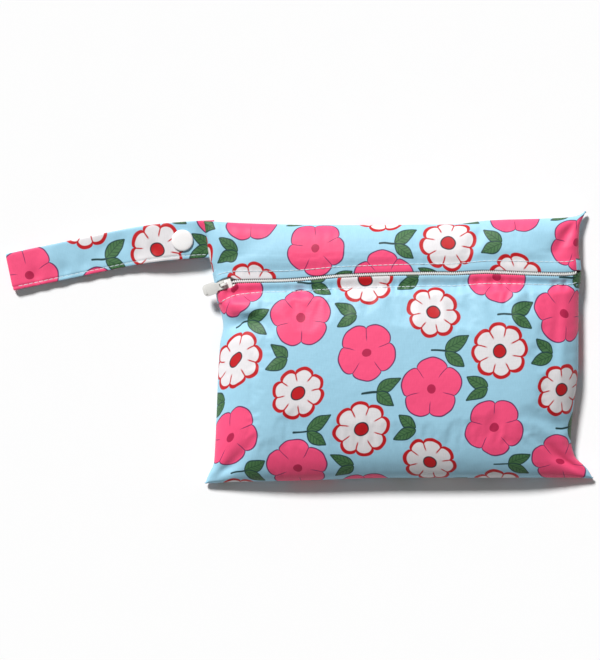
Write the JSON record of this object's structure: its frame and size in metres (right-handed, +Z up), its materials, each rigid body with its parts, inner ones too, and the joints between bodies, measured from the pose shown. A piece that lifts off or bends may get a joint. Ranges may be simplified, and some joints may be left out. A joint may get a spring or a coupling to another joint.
{
  "type": "cloth diaper wet bag",
  "caption": "Small zipped waterproof cloth pouch with a pillowed body, a zip across the front and a wrist strap snapped into a loop.",
  "frame": {"origin": "middle of the pouch, on the flat underside of the back panel, which lies on the ground", "axes": "+X along the zip towards the bag's right side, +Y towards the bag's top edge, +Z up out of the front"},
  "size_m": [0.3389, 0.1572, 0.0239],
  "materials": {
    "laminated_cloth": "smooth laminated knit, light blue with a flower print",
    "zip_tape": "white woven tape and nylon coil",
    "painted_slider": "white enamel",
    "snap_resin": "moulded acetal, satin white"
  },
  "bodies": {
    "bag": {"back_panel": "laminated_cloth", "lower_front_panel": "laminated_cloth", "upper_front_panel": "laminated_cloth", "wrist_strap": "laminated_cloth", "zip_tape_upper": "zip_tape", "zip_tape_lower": "zip_tape", "zip_chain": "zip_tape", "zip_slider": "painted_slider", "snap_upper_cap": "snap_resin", "snap_socket": "snap_resin", "snap_stud": "snap_resin", "snap_lower_cap": "snap_resin"},
    "pull": {"pull_tab": "painted_slider"}
  },
  "joints": [
    {"name": "pull_hinge", "type": "hinge", "parent": "bag", "child": "pull", "pos_m": [-0.10022, 0.03818, 0.01273], "axis": [-0.314, 0.9483, -0.046], "range_deg": [0, 170]}
  ]
}
